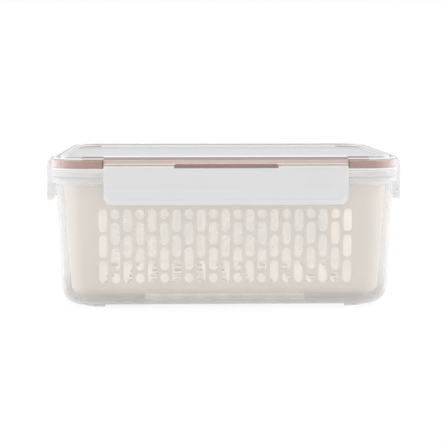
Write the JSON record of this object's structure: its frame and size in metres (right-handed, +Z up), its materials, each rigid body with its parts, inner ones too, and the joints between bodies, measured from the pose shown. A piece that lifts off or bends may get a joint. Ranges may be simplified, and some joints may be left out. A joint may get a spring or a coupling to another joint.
{
  "type": "fridge storage box",
  "caption": "Clear airtight food box with a lid, sealing ring, fold-down latch flaps on each side and a slotted drain basket inside.",
  "frame": {"origin": "on the surface that the feet stand on, under the middle of the box", "axes": "+X to the right along the long side, +Y towards the back, +Z up; the front latch faces -Y"},
  "size_m": [0.3, 0.23, 0.127],
  "materials": {
    "clear_box": "clear, slightly milky moulded plastic",
    "cream_basket": "satin cream moulded plastic",
    "pink_silicone": "soft dusty pink silicone",
    "clear_lid": "clear moulded plastic",
    "frosted_latch": "frosted translucent moulded plastic"
  },
  "bodies": {
    "root": {"box": "clear_box", "basket": "cream_basket", "gasket": "pink_silicone", "lid": "clear_lid"},
    "front_flap": {"latch_front": "frosted_latch"},
    "left_flap": {"latch_left": "frosted_latch"},
    "back_flap": {"latch_back": "frosted_latch"},
    "right_flap": {"latch_right": "frosted_latch"}
  },
  "joints": [
    {"name": "front_hinge", "type": "hinge", "parent": "root", "child": "front_flap", "pos_m": [0, -0.1134, 0.1202], "axis": [-1, 0, 0], "range_deg": [0, 135]},
    {"name": "left_hinge", "type": "hinge", "parent": "root", "child": "left_flap", "pos_m": [-0.1484, 0, 0.1202], "axis": [0, 1, 0], "range_deg": [0, 135]},
    {"name": "back_hinge", "type": "hinge", "parent": "root", "child": "back_flap", "pos_m": [0, 0.1134, 0.1202], "axis": [1, 0, 0], "range_deg": [0, 135]},
    {"name": "right_hinge", "type": "hinge", "parent": "root", "child": "right_flap", "pos_m": [0.1484, 0, 0.1202], "axis": [0, -1, 0], "range_deg": [0, 135]}
  ]
}
